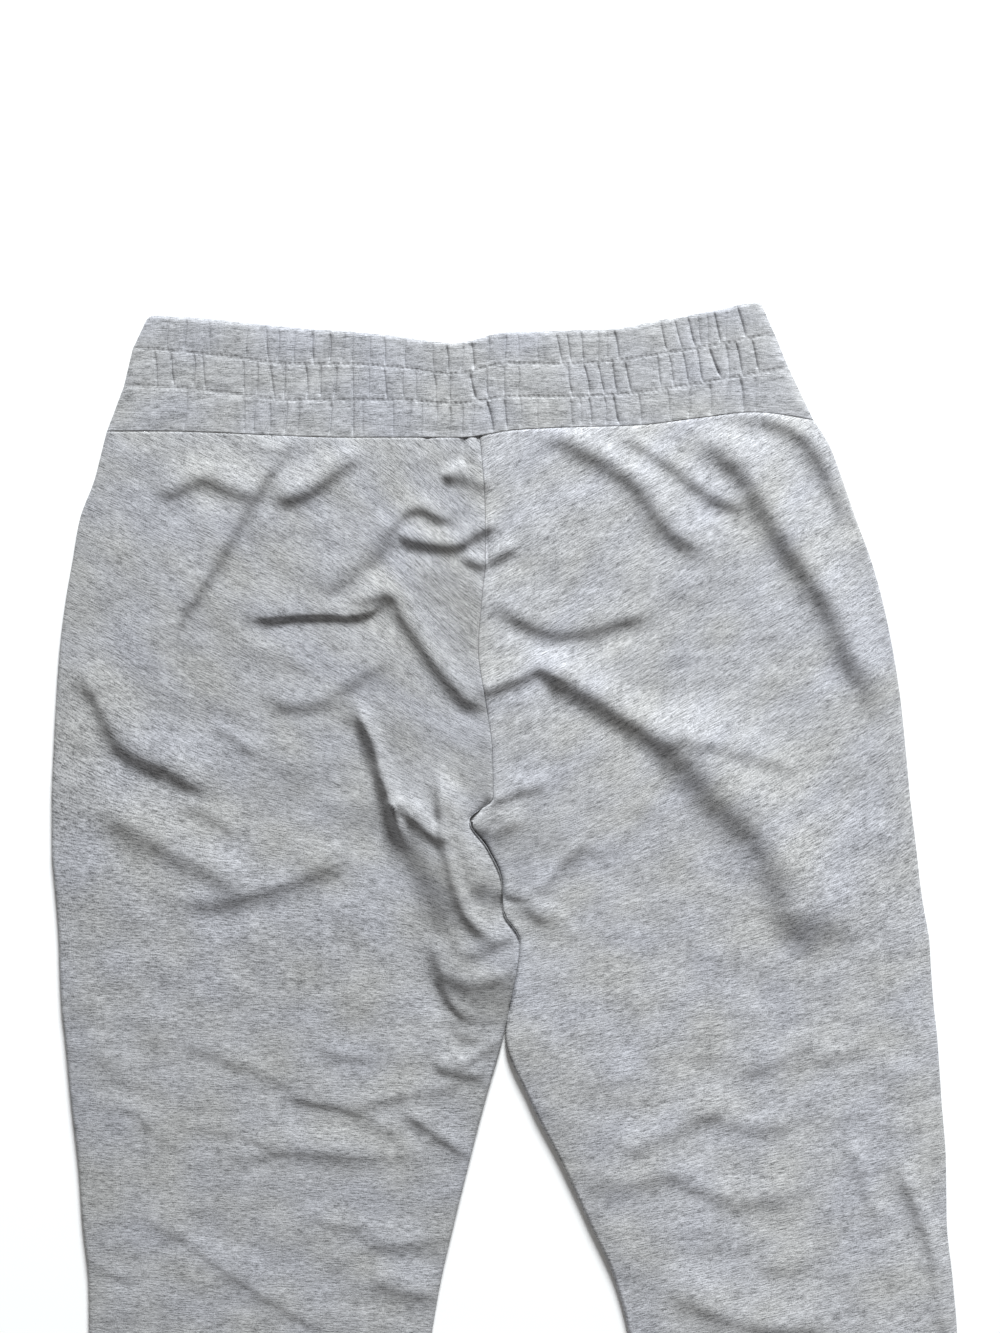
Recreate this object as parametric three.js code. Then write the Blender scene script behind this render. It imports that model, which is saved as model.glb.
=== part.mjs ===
// Jogger sweatpants in brushed fleece, laid flat on a surface with the back up.
// Millimetres. +Y runs from the cuffs to the waist, +X to the right as seen from above, +Z up.
// The origin is the middle of the underside. "down" is a distance from the highest point of
// the waist towards the cuffs.
import * as THREE from 'three';

// Driving sizes of the whole garment
const LENGTH = 985;
const HEM_DOWN = 920;
const FLEECE = 1.8;
const BAND_WALL = 2.4;
const RIB_WALL = 2.2;
const SEAM_GAP = 0.3;
const WAIST_GAP = 0.55;

// How the layers stack: the front panels lie on the surface and the back panels on them
const BACK_FLOOR = FLEECE + SEAM_GAP;
const BAND_FLOOR = BAND_WALL + SEAM_GAP;
const CUFF_FLOOR = RIB_WALL + SEAM_GAP;

// The sides fold round from the back to the underside
const EDGE_LIFT = 0.4;
const EDGE_MIDDLE = 2.2;
const EDGE_ROUND = 5;
const SIDE_LOFT = 0.12;
const SIDE_REACH = 24;
const FOLD_SIDE_REACH = 7;
const BAND_ROUND = 6;
const TUCK = 0.8;
const LIP_WALL = 1.4;
const SEAM_LIP = 0.4;
const LOWER_INSET = TUCK + LIP_WALL + 2 * SEAM_GAP;

// How high the back panels stand off the front ones
const LOFT_HIP = 6;
const LOFT_ANKLE = 4;
const LOFT_SEAM = 1.2;
const SEAM_RISE = 24;
const FOLD_SEAM_REACH = 8;
const SEAM_GROOVE = 1.5;
const LEAST_LOFT = 0.2;

// Crotch: above it the two backs meet in a seam, below it the left leg lies against the right
const SEAM_ENDS = 290;
const FOLD_STARTS = 318;
const FLAP_ENDS = 380;
const LEG_SPLIT = 423;

// Waistband: three elastic channels between lines of stitching
const BAND_LEAST = 1.8;
const PUFF = 2.8;
const PUFF_SHAPE = 0.6;
const GATHER_DEPTH = 1.9;
const GATHER_WIDTH = 2.6;
const MOST_CREASE = 1.3;
const TOP_EDGE = 1;
const FRONT_BAND_END = 0.97;

// Rib cuffs, and the gathers where the legs are drawn in to them
const CUFF_WAIST = 4;
const RIB_LEAST = 1.6;
const RIB_COUNT = 30;
const RIB_HEIGHT = 0.8;
const HEM_GATHERS = 9;
const HEM_GATHER_HEIGHT = 1.8;
const HEM_GATHER_REACH = 35;

// How finely each piece is divided
const PANEL_COLUMNS = 22;
const FRONT_COLUMNS = 6;
const BAND_COLUMNS = 140;
const BAND_INSIDE_COLUMNS = 24;
const EDGE_STEPS = [0, 1.5, 5];
const CHANNEL_STEPS = [0, 0.15, 0.5, 0.85];
const CUFF_STEPS = [0, 0.5, 1];
const SEAM_ROWS = [0, 4, 10];
const HEM_ROWS = [13, 5, 0];
const ROW_STEP = 19;
const LOW_ROW_STEP = 40;
const LOW_ROWS_FROM = 530;
const BOW_REACH = 25;
const FOLD_SAMPLES = 12;

const { clamp, lerp, smoothstep } = THREE.MathUtils;

// Turns rows of values into objects with named columns
function rows(columns, values) {
  return values.map((row) => Object.fromEntries(columns.map((name, k) => [name, row[k]])));
}

// Outline of the two legs, a row for each section
const sections = rows(['down', 'leftOuter', 'leftInner', 'rightInner', 'rightOuter'], [
  [69.5, -226.5, -14.5, -14.5, 177.5],
  [76, -228.5, -14.5, -14.5, 182],
  [86, -231, -13.5, -13.5, 187.5],
  [103.5, -235.5, -12, -12, 194],
  [126.5, -244, -11, -11, 202],
  [149.5, -248, -11, -11, 210.5],
  [172.5, -252, -13, -13, 217],
  [201, -255.5, -15, -15, 223],
  [230, -257.5, -11, -11, 227.5],
  [259, -259, -7, -7, 230.5],
  [286, -260, -6.5, -6.5, 233],
  [298.5, -260, -20, -20, 234.5],
  [315, -260, -9.5, -9.5, 236.5],
  [333.5, -258.5, -1.5, -1.5, 238.5],
  [351, -257, -0.5, -0.5, 241],
  [368, -256, 9, 9, 244],
  [385, -255.5, 7, 7, 245],
  [405.5, -254.5, 3, 3, 246.5],
  [423, -252.5, -0.5, 0.5, 248.5],
  [460, -249, -11, 14.5, 251],
  [494.5, -245, -20, 32, 253.5],
  [529, -242.5, -28.5, 48, 254],
  [563.5, -239, -36.5, 63.5, 257.5],
  [598, -238.5, -42.5, 72, 260],
  [661, -237, -53, 78, 256],
  [747.5, -235.5, -67.5, 86, 250.5],
  [833.5, -233.5, -82, 93.5, 244],
  [907, -233, -94, 100, 239.5],
  [920, -219, -108.5, 113.5, 225],
]);

// Waistband, at even steps from its left end to its right end: how far down each line lies
const bandLines = rows(['along', 'top', 'stitchOne', 'stitchTwo', 'seam'], [
  [0, 9, 28, 49.5, 76],
  [1 / 12, 10.5, 30.5, 51, 76],
  [2 / 12, 13.5, 34, 54.5, 77],
  [3 / 12, 16.5, 37.5, 58, 78.5],
  [4 / 12, 18.5, 37.5, 58, 79.5],
  [5 / 12, 21.5, 39.5, 58, 79.5],
  [6 / 12, 25, 43, 60, 79.5],
  [7 / 12, 19, 37, 56, 75],
  [8 / 12, 18, 37.5, 56, 73.5],
  [9 / 12, 17, 35.5, 54.5, 72.5],
  [10 / 12, 12, 31, 50.5, 68.5],
  [11 / 12, 6.5, 26, 45, 65],
  [1, 0, 19.5, 39, 69.5],
]);

// Where each of those lines begins and ends
const bandEnds = rows(['line', 'left', 'right'], [
  ['top', -206.5, 148.5],
  ['stitchOne', -213.5, 155],
  ['stitchTwo', -218.5, 163],
  ['seam', -228.5, 177.5],
]);

// Gathers that run down through the band, as x at its top and at its foot
const gathers = rows(['top', 'foot', 'depth'], [
  [-193, -198, 1],
  [-181, -183, 1],
  [-147, -149, 0.8],
  [-138.5, -143, 0.8],
  [-129, -135, 0.8],
  [-120, -125.5, 0.8],
  [-110.5, -116.5, 1.2],
  [-101, -105, 1.2],
  [-91, -86.5, 1.3],
  [-68, -69.5, 0.8],
  [-56.5, -54.5, 0.7],
  [-40.5, -40.5, 0.7],
  [-32.5, -32, 1],
  [-24, -22.5, 1],
  [-16, -16.5, 1.6],
  [-7.5, -8, 1.2],
  [0.5, 0.5, 0.9],
  [8.5, 9, 0.8],
  [34, 36.5, 0.9],
  [45, 49, 0.9],
  [54.5, 57, 0.9],
  [63, 65, 1.7],
  [77, 77.5, 1],
  [90, 93.5, 0.9],
  [98, 101, 0.8],
  [106.5, 109, 1],
  [115, 118.5, 1.3],
  [123, 128, 1.2],
  [134.5, 137, 1.2],
]);

// Main folds of the back, each a steep flank along a path of [x, down] points. The side to the
// left of the way of travel stands up by the crest and the right side dips by the trough, both
// over their own widths.
const folds = rows(['path', 'crest', 'trough', 'steep', 'left', 'right'], [
  // Left hip
  [[[-141, 185], [-86, 183], [-66, 173], [-50, 195], [-17, 233], [-3, 236]], 6, 2, 6, 22, 16],
  [[[-135, 230], [-118, 236], [-89, 223], [-72, 214]], 3, 1, 6, 16, 12],
  [[[-253, 218], [-237, 230], [-222, 257], [-198, 269], [-166, 288]], 5, 2, 6, 22, 14],
  [[[-86, 236], [-77, 259], [-70, 285], [-61, 316]], 5, 3, 7, 20, 16],
  [[[-233, 305], [-204, 308], [-181, 327], [-146, 342]], 4, 1, 6, 18, 12],
  [[[-187, 348], [-158, 348], [-118, 339], [-83, 327]], 4, 1.5, 6, 18, 12],
  [[[-39, 270], [-33, 310], [-22, 342], [-8, 365]], 3.5, 2, 6, 14, 12],
  [[[-57, 328], [-49, 345], [-38, 382], [-24, 413]], 6, 2.5, 10, 24, 22],
  // Left leg
  [[[-181, 425], [-143, 441], [-118, 460], [-92, 467], [-60, 483]], 4, 1.5, 6, 20, 14],
  [[[-57, 467], [-43, 477], [-21, 497]], 4, 1, 6, 16, 12],
  [[[-181, 493], [-112, 493], [-72, 494]], 4, 1.5, 7, 22, 14],
  [[[-215, 526], [-181, 540], [-138, 575], [-95, 598]], 4, 1.5, 7, 22, 16],
  [[[-225, 640], [-170, 668], [-110, 690]], 3.5, 1.5, 8, 24, 18],
  [[[-130, 762], [-175, 748], [-225, 760]], 2.5, 1.5, 8, 20, 20],
  [[[-215, 838], [-165, 858], [-110, 850]], 3, 1, 8, 22, 18],
  // Right hip
  [[[20, 79], [42, 92], [66, 103], [87, 126], [112, 150]], 4.5, 2, 6, 18, 14],
  [[[101, 75], [135, 109], [164, 150], [190, 195], [207, 239]], 5, 2, 6, 20, 18],
  [[[-8, 179], [18, 191], [55, 191], [101, 184]], 1.5, 3, 7, 14, 16],
  [[[-10, 224], [20, 211], [46, 227], [78, 250], [112, 259], [158, 270]], 6, 2.5, 6, 24, 18],
  [[[112, 270], [124, 299], [147, 334], [161, 374], [167, 397]], 4, 2, 9, 26, 22],
  // Right leg
  [[[66, 492], [84, 483], [107, 471], [141, 477], [164, 474]], 4, 1, 7, 24, 14],
  [[[43, 511], [92, 505], [112, 515], [141, 520], [170, 512]], 4.5, 1.5, 6, 18, 14],
  [[[95, 578], [112, 586], [147, 592], [204, 589]], 3.5, 1, 7, 20, 14],
  [[[105, 655], [160, 680], [225, 672]], 3.5, 1.5, 8, 24, 18],
  [[[225, 765], [170, 752], [110, 770]], 2.5, 1.5, 8, 20, 20],
  [[[120, 842], [170, 856], [222, 846]], 3, 1, 8, 22, 18],
]);

// Materials
const fleece = new THREE.MeshStandardMaterial({ color: 0xafb2b7, roughness: 0.95, metalness: 0 });
const band = new THREE.MeshStandardMaterial({ color: 0xb6b9be, roughness: 0.95, metalness: 0 });
const rib = new THREE.MeshStandardMaterial({ color: 0xa9acb2, roughness: 0.95, metalness: 0 });

// A smooth curve through one column of a table, which never swings past the table's own values
function curveThrough(table, across, column) {
  const at = table.map((row) => row[across]);
  const value = table.map((row) => row[column]);
  const slope = at.slice(1).map((end, k) => (value[k + 1] - value[k]) / (end - at[k]));
  const tangent = value.map((_, k) => {
    if (k === 0) return slope[0];
    if (k === value.length - 1) return slope[k - 1];
    const turns = slope[k - 1] * slope[k] <= 0;
    return turns ? 0 : (2 * slope[k - 1] * slope[k]) / (slope[k - 1] + slope[k]);
  });
  return (place) => {
    const x = clamp(place, at[0], at[at.length - 1]);
    const k = clamp(at.findIndex((end) => end >= x) - 1, 0, slope.length - 1);
    const span = at[k + 1] - at[k];
    const t = (x - at[k]) / span;
    const blend = t * t * (3 - 2 * t);
    const early = t * (1 - t) * (1 - t) * span * tangent[k];
    const late = t * t * (t - 1) * span * tangent[k + 1];
    return lerp(value[k], value[k + 1], blend) + early + late;
  };
}

const edges = Object.fromEntries(
  ['leftOuter', 'leftInner', 'rightInner', 'rightOuter'].map(
    (column) => [column, curveThrough(sections, 'down', column)],
  ),
);
const bandLine = Object.fromEntries(
  bandEnds.map(({ line }) => [line, curveThrough(bandLines, 'along', line)]),
);
const seamEnds = bandEnds[bandEnds.length - 1];

// How far down the waist seam lies at x
function waistSeam(x) {
  return bandLine.seam(clamp((x - seamEnds.left) / (seamEnds.right - seamEnds.left), 0, 1));
}

// A closed wall between two grids of points. Rows run down the garment and columns to the right.
// The outer grid faces up, and the two may be divided differently.
function wall(outer, inner) {
  const points = [];
  const faces = [];
  const numbered = (grid) => grid.map((line) => line.map((point) => points.push(point) - 1));
  const sheet = (grid, up) => {
    for (let j = 0; j + 1 < grid.length; j += 1) {
      for (let i = 0; i + 1 < grid[j].length; i += 1) {
        const [a, b, c, d] = [grid[j][i], grid[j + 1][i], grid[j + 1][i + 1], grid[j][i + 1]];
        faces.push(...(up ? [a, b, d, b, c, d] : [a, d, b, b, d, c]));
      }
    }
  };
  const apart = (a, b) => Math.hypot(...points[a].map((value, axis) => value - points[b][axis]));
  // Joins two edges whose points may differ in number, always across the shorter way
  const strip = (from, to) => {
    let [i, k] = [0, 0];
    while (i + 1 < from.length || k + 1 < to.length) {
      const lastTo = k + 1 === to.length;
      const lastFrom = i + 1 === from.length;
      if (lastTo || (!lastFrom && apart(from[i + 1], to[k]) <= apart(from[i], to[k + 1]))) {
        faces.push(from[i], to[k], from[i + 1]);
        i += 1;
      } else {
        faces.push(from[i], to[k], to[k + 1]);
        k += 1;
      }
    }
  };
  const column = (grid, i) => grid.map((line) => line.at(i));
  const top = numbered(outer);
  const under = numbered(inner);
  sheet(top, true);
  sheet(under, false);
  strip(under[0], top[0]);
  strip(top.at(-1), under.at(-1));
  strip(column(top, 0), column(under, 0));
  strip(column(under, -1), column(top, -1));
  const geometry = new THREE.BufferGeometry();
  geometry.setAttribute('position', new THREE.Float32BufferAttribute(points.flat(), 3));
  geometry.setIndex(faces);
  geometry.computeVertexNormals();
  return geometry;
}

function piece(name, geometry, material) {
  const mesh = new THREE.Mesh(geometry, material);
  mesh.name = name;
  return mesh;
}

const point = (x, down, z) => [x, LENGTH / 2 - down, z];
const quarterRound = (t) => Math.sqrt(1 - (1 - clamp(t, 0, 1)) ** 2);
const bump = (distance, width) => Math.exp(-((distance / width) ** 2));

// Positions across a piece: a few close to each side, where it rounds over, then evenly spaced
function across(left, right, columns, steps) {
  const middle = columns - 2 * (steps.length - 1);
  const low = left + steps.at(-1);
  const high = right - steps.at(-1);
  return [
    ...steps.slice(0, -1).map((step) => left + step),
    ...Array.from({ length: middle + 1 }, (_, k) => lerp(low, high, k / middle)),
    ...steps.slice(0, -1).reverse().map((step) => right - step),
  ];
}

const foldLines = folds.map((fold) => {
  const curve = new THREE.SplineCurve(fold.path.map(([x, down]) => new THREE.Vector2(x, -down)));
  return { ...fold, line: curve.getSpacedPoints(FOLD_SAMPLES) };
});

// Height that one fold adds at a place, fading out at both of its ends
function foldHeight(fold, x, down) {
  const place = new THREE.Vector2(x, -down);
  let near = { distance: Infinity };
  fold.line.slice(1).forEach((end, k) => {
    const start = fold.line[k];
    const way = end.clone().sub(start);
    const from = place.clone().sub(start);
    const t = clamp(from.dot(way) / way.lengthSq(), 0, 1);
    const distance = from.clone().addScaledVector(way, -t).length();
    if (distance < near.distance) {
      const side = Math.sign(way.cross(from)) || 1;
      near = { distance, side, along: (k + t) / FOLD_SAMPLES };
    }
  });
  const signed = near.distance * near.side;
  const rise = 0.5 + 0.5 * Math.tanh(signed / fold.steep);
  const crest = fold.crest * rise * bump(Math.max(signed, 0), fold.left);
  const trough = fold.trough * (1 - rise) * bump(Math.min(signed, 0), fold.right);
  const fade = smoothstep(near.along, 0, 0.25) * smoothstep(1 - near.along, 0, 0.25);
  return (crest - trough) * fade;
}

const joinedAboveCrotch = (down) => 1 - smoothstep(down, SEAM_ENDS, FOLD_STARTS);
const touchingAboveSplit = (down) => 1 - smoothstep(down, FLAP_ENDS, LEG_SPLIT);

// How much of the height is left near the free sides, where the back comes down to the front
function nearSides(x, down, reach) {
  const sides = [
    [x - edges.leftOuter(down), 0],
    [edges.rightOuter(down) - x, 0],
    [edges.leftInner(down) - x, touchingAboveSplit(down)],
    [x - edges.rightInner(down), joinedAboveCrotch(down)],
  ];
  return sides.reduce((left, [inwards, joined]) => {
    if (inwards < 0) return left;
    return left * (1 - (1 - joined) * (1 - SIDE_LOFT) * Math.exp(-inwards / reach));
  }, 1);
}

// How far the back stands off the front, before the edges round over
function loft(x, down) {
  const full = lerp(LOFT_HIP, LOFT_ANKLE, smoothstep(down, LEG_SPLIT, HEM_DOWN));
  const fromSeam = Math.max(Math.min(down - waistSeam(x), HEM_DOWN - down), 0);
  const free = 1 - Math.exp(-fromSeam / SEAM_RISE);
  const low = lerp(1, nearSides(x, down, SIDE_REACH), Math.sqrt(free));
  const base = (LOFT_SEAM + (full - LOFT_SEAM) * free) * low;
  const raised = foldLines.reduce((sum, fold) => sum + foldHeight(fold, x, down), 0);
  const shown = (1 - Math.exp(-fromSeam / FOLD_SEAM_REACH)) * nearSides(x, down, FOLD_SIDE_REACH);
  return Math.max(base + raised * shown, LEAST_LOFT);
}

// Gathers where the leg is drawn in to its cuff
function hemGathers(share, down) {
  const reach = clamp(1 - (HEM_DOWN - down) / HEM_GATHER_REACH, 0, 1);
  return HEM_GATHER_HEIGHT * reach * Math.sin(Math.PI * HEM_GATHERS * share) ** 2;
}

// A layer that lies on another. Its sides fold round to the underside where a row's joined is 0,
// and stop level, in a groove, at a seam where it is 1.
function upperLayer({ rowList, columns, insideColumns, steps, skin, floor, round, height }) {
  const edgeHeight = (full, joined, inside) => {
    const least = inside ? floor : floor + skin;
    const turned = inside ? floor : EDGE_MIDDLE;
    return lerp(turned, Math.max(full - SEAM_GROOVE, least), joined);
  };
  const lineOf = (row, inside) => {
    const inset = inside ? skin : 0;
    const reach = round - inset;
    const near = steps.map((step) => (step * reach) / round);
    const count = inside ? insideColumns : columns;
    return across(row.left + inset, row.right - inset, count, near).map((x) => {
      const share = (x - row.left) / (row.right - row.left);
      const down = row.downAt(share, x);
      const full = floor + height(x, down, share, inside, row);
      const drop = (distance, joined) => {
        const fall = full - edgeHeight(full, joined, inside);
        return fall * (1 - quarterRound(distance / reach));
      };
      const fromLeft = drop(x - inset - row.left, row.joinedLeft);
      const fromRight = drop(row.right - inset - x, row.joinedRight);
      return point(x, down, full - fromLeft - fromRight);
    });
  };
  const outer = [];
  const inner = [];
  for (const row of rowList) {
    const top = lineOf(row, false);
    const under = lineOf(row, true);
    const lip = (end, joined, inward) => {
      const [x, y] = top.at(end);
      const level = under.at(end)[2];
      const tucked = x + inward * lerp(TUCK, 0, joined);
      const back = x + inward * lerp(TUCK + LIP_WALL, SEAM_LIP, joined);
      return [
        [tucked, y, lerp(EDGE_LIFT, level + SEAM_LIP, joined)],
        [back, y, lerp(EDGE_LIFT, level, joined)],
      ];
    };
    const [leftOut, leftIn] = lip(0, row.joinedLeft, 1);
    const [rightOut, rightIn] = lip(-1, row.joinedRight, -1);
    outer.push([leftOut, ...top, rightOut]);
    inner.push([leftIn, ...under, rightIn]);
  }
  return wall(outer, inner);
}

// A layer that lies flat on the surface, inside the sides of the layer above it
function lowerLayer({ rowList, columns, thickness }) {
  const inset = (joined) => lerp(SEAM_GAP / 2, LOWER_INSET, clamp(2 - 2 * joined, 0, 1));
  const level = (z) => rowList.map((row) => {
    const left = row.left + inset(row.frontLeft);
    const right = row.right - inset(row.frontRight);
    return across(left, right, columns, [0]).map((x) => {
      const share = (x - row.left) / (row.right - row.left);
      return point(x, row.downAt(share, x), z);
    });
  });
  return wall(level(thickness), level(0));
}

// The rows of a leg panel, from the waist seam to the hem. The first rows follow the seam's bow,
// and the front leaves its seam a row sooner, which makes room for the back to fold round it.
function panelRows(leftEdge, rightEdge, joinedLeft, joinedRight) {
  const seamAt = (x) => waistSeam(x) + WAIST_GAP;
  const startLeft = seamAt(leftEdge(bandLines[0].seam));
  const startRight = seamAt(rightEdge(bandLines[0].seam));
  const full = HEM_DOWN - seamAt(edges.leftInner(bandLines[0].seam));
  const steps = [...SEAM_ROWS];
  while (steps.at(-1) < LOW_ROWS_FROM) steps.push(steps.at(-1) + ROW_STEP);
  while (steps.at(-1) < full - LOW_ROW_STEP) steps.push(steps.at(-1) + LOW_ROW_STEP);
  const stops = steps.filter((step) => step < full - HEM_ROWS[0]);
  return [...stops, ...HEM_ROWS.map((step) => full - step)].map((step) => {
    const downLeft = lerp(startLeft, HEM_DOWN, step / full);
    const downRight = lerp(startRight, HEM_DOWN, step / full);
    const bow = Math.exp(-step / BOW_REACH);
    return {
      left: leftEdge(downLeft),
      right: rightEdge(downRight),
      joinedLeft: joinedLeft(downLeft),
      joinedRight: joinedRight(downRight),
      frontLeft: joinedLeft(downLeft + ROW_STEP),
      frontRight: joinedRight(downRight + ROW_STEP),
      downAt: (share, x) => {
        const offSeam = seamAt(x) - lerp(startLeft, startRight, share);
        return lerp(downLeft, downRight, share) + bow * offSeam;
      },
    };
  });
}

// Thickness of the fleece measured straight up, which grows where the cloth is steep
function fleeceUp(x, down) {
  const here = loft(x, down);
  const slopeX = loft(x + 1, down) - here;
  const slopeDown = loft(x, down + 1) - here;
  return FLEECE * Math.hypot(1, slopeX, slopeDown);
}

const backHeight = (x, down, share, inside) =>
  loft(x, down) + hemGathers(share, down) + (inside ? 0 : fleeceUp(x, down));

function backPanel(rowList) {
  return upperLayer({
    rowList,
    columns: PANEL_COLUMNS,
    insideColumns: PANEL_COLUMNS,
    steps: EDGE_STEPS,
    skin: FLEECE,
    floor: BACK_FLOOR,
    round: EDGE_ROUND,
    height: backHeight,
  });
}

const frontPanel = (rowList) =>
  lowerLayer({ rowList, columns: FRONT_COLUMNS, thickness: FLEECE });

// One row of the waistband, part of the way from one of its lines to the next
function bandRow(channel, step, topInset) {
  const [from, to] = [bandEnds[channel], bandEnds[Math.min(channel + 1, bandEnds.length - 1)]];
  return {
    channel,
    step,
    left: lerp(from.left, to.left, step),
    right: lerp(from.right, to.right, step),
    joinedLeft: 0,
    joinedRight: 0,
    frontLeft: 0,
    frontRight: 0,
    downAt: (share) =>
      lerp(bandLine[from.line](share), bandLine[to.line](share), step) + topInset,
  };
}

// Channels stand up between their stitch lines, and the gathers cut down into them
function bandHeight(x, down, share, inside, { channel, step }) {
  if (inside) return 0;
  if (channel === 0 && step === 0) return TOP_EDGE;
  const along = (channel + step) / (bandEnds.length - 1);
  const crease = gathers.reduce(
    (sum, gather) => sum + gather.depth * bump(x - lerp(gather.top, gather.foot, along), GATHER_WIDTH),
    0,
  );
  const puff = Math.sin(Math.PI * step) ** PUFF_SHAPE;
  return BAND_LEAST + puff * (PUFF - GATHER_DEPTH * Math.min(crease, MOST_CREASE));
}

function waistbandBack() {
  const channels = bandEnds.slice(0, -1).map((_, channel) => channel);
  const rowList = channels.flatMap((channel) =>
    CHANNEL_STEPS.map((step) => bandRow(channel, step, 0)));
  rowList.push(bandRow(channels.length, 0, 0));
  return upperLayer({
    rowList,
    columns: BAND_COLUMNS,
    insideColumns: BAND_INSIDE_COLUMNS,
    steps: [0],
    skin: BAND_LEAST,
    floor: BAND_FLOOR,
    round: BAND_ROUND,
    height: bandHeight,
  });
}

function waistbandFront() {
  const rowList = [
    bandRow(0, 0, TOP_EDGE),
    bandRow(1, 0, 0),
    bandRow(2, 0, 0),
    bandRow(2, FRONT_BAND_END, 0),
  ];
  return lowerLayer({ rowList, columns: BAND_INSIDE_COLUMNS, thickness: BAND_WALL });
}

// The rows of a cuff, which is drawn in a little halfway down
function cuffRows(leftEdge, rightEdge) {
  const top = HEM_DOWN + SEAM_GAP;
  return CUFF_STEPS.map((step) => {
    const down = lerp(top, LENGTH, step);
    const drawn = (CUFF_WAIST / 2) * Math.sin((Math.PI * step) / 2);
    return {
      left: leftEdge(HEM_DOWN) + drawn,
      right: rightEdge(HEM_DOWN) - drawn,
      joinedLeft: 0,
      joinedRight: 0,
      frontLeft: 0,
      frontRight: 0,
      downAt: () => down,
    };
  });
}

function cuffUpper(rowList) {
  const ribAt = (share) => 0.5 + 0.5 * Math.cos(2 * Math.PI * RIB_COUNT * share);
  return upperLayer({
    rowList,
    columns: 2 * RIB_COUNT,
    insideColumns: FRONT_COLUMNS,
    steps: [0],
    skin: RIB_LEAST,
    floor: CUFF_FLOOR,
    round: BAND_ROUND,
    height: (x, down, share, inside) => (inside ? 0 : RIB_LEAST + RIB_HEIGHT * ribAt(share)),
  });
}

const cuffLower = (rowList) =>
  lowerLayer({ rowList, columns: FRONT_COLUMNS, thickness: RIB_WALL });

// The garment
const folded = () => 0;
const legs = [
  { side: 'left', ends: ['leftOuter', 'leftInner'], joined: [folded, touchingAboveSplit] },
  { side: 'right', ends: ['rightInner', 'rightOuter'], joined: [touchingAboveSplit, folded] },
];
const sweatpants = new THREE.Group();
sweatpants.name = 'jogger_sweatpants';
for (const { side, ends, joined } of legs) {
  const [leftEdge, rightEdge] = ends.map((end) => edges[end]);
  const gap = SEAM_GAP / 2;
  const [leftEdgeIn, rightEdgeIn] = [
    (down) => leftEdge(down) + gap,
    (down) => rightEdge(down) - gap,
  ];
  const panel = panelRows(leftEdgeIn, rightEdgeIn, ...joined);
  const cuff = cuffRows(leftEdgeIn, rightEdgeIn);
  sweatpants.add(
    piece(`back_${side}`, backPanel(panel), fleece),
    piece(`front_${side}`, frontPanel(panel), fleece),
    piece(`cuff_${side}_upper`, cuffUpper(cuff), rib),
    piece(`cuff_${side}_lower`, cuffLower(cuff), rib),
  );
}
sweatpants.add(
  piece('waistband_back', waistbandBack(), band),
  piece('waistband_front', waistbandFront(), band),
);

export default sweatpants;
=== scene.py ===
import math

import bpy
import numpy as np
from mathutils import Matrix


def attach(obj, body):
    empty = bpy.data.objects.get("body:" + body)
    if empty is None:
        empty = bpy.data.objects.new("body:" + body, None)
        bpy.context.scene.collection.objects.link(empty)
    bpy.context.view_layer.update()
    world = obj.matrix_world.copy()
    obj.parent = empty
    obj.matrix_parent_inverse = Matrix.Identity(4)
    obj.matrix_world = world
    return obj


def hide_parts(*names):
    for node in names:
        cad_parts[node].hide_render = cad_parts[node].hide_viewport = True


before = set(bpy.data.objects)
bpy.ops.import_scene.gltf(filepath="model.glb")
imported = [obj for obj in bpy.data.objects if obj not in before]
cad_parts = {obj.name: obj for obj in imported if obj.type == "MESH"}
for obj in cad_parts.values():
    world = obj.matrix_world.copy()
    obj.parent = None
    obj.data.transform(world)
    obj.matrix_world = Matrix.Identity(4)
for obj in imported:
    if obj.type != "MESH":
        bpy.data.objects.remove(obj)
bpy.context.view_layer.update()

# Millimetres throughout. "down" is a distance from the highest point of the waist to the cuffs.
MM = 0.001
LENGTH = 985
HEM_DOWN = 920
FLEECE = 1.8
BAND_WALL = 2.4
RIB_WALL = 2.2
SEAM_GAP = 0.3
DRAWN_GAP = 0.06

# Paths are drawn on a grid with this step, whose zero lies this far off the garment's axis and top
GRID = 0.575
GRID_AXIS = 504.5
GRID_TOP = 300

# How the layers stack
BACK_FLOOR = FLEECE + SEAM_GAP
BAND_FLOOR = BAND_WALL + SEAM_GAP
CUFF_FLOOR = RIB_WALL + SEAM_GAP

# The sides fold round from the back to the underside
EDGE_LIFT = 0.4
EDGE_MIDDLE = 2.2
EDGE_ROUND = 2
SIDE_LOFT = 0.12
SIDE_REACH = 24
FOLD_SIDE_REACH = 7
BAND_ROUND = 6
TUCK = 0.8
LIP_WALL = 1.4
SEAM_LIP = 0.4
LOWER_INSET = TUCK + LIP_WALL + SEAM_GAP
TURN_STEPS = (0.35, 0.7, 0.9)

# How high the back panels stand off the front ones
LOFT_HIP = 6
LOFT_ANKLE = 4
LOFT_SEAM = 1.25
SEAM_RISE = 34
FOLD_SEAM_REACH = 6
SEAM_GROOVE = 1
SEAM_ROUND = 3
LEAST_LOFT = 0.2
STEEPEST = 2

# Small gathers that run down from the waist seam
PUCKERS = 48
PUCKER_SPAN = (-225, 172)
PUCKER_LEAN = 0.25
PUCKER_REACH = (5, 13)
PUCKER_STRENGTH = (0.2, 1)
PUCKER_DEPTH = 1
PUCKER_WIDTH = 1.1
PUCKER_START = 0.8

# Soft unevenness all over, and a finer one that is drawn out down the garment
WAVES = 14
WAVE_LENGTHS = (0.7, 2)
RIPPLE = 0.2
RIPPLE_SIZE = 34
FINE_RIPPLE = 0.06
FINE_SIZE = 9
FINE_STRETCH = 0.35
FINE_LEAN = 0.2

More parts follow.
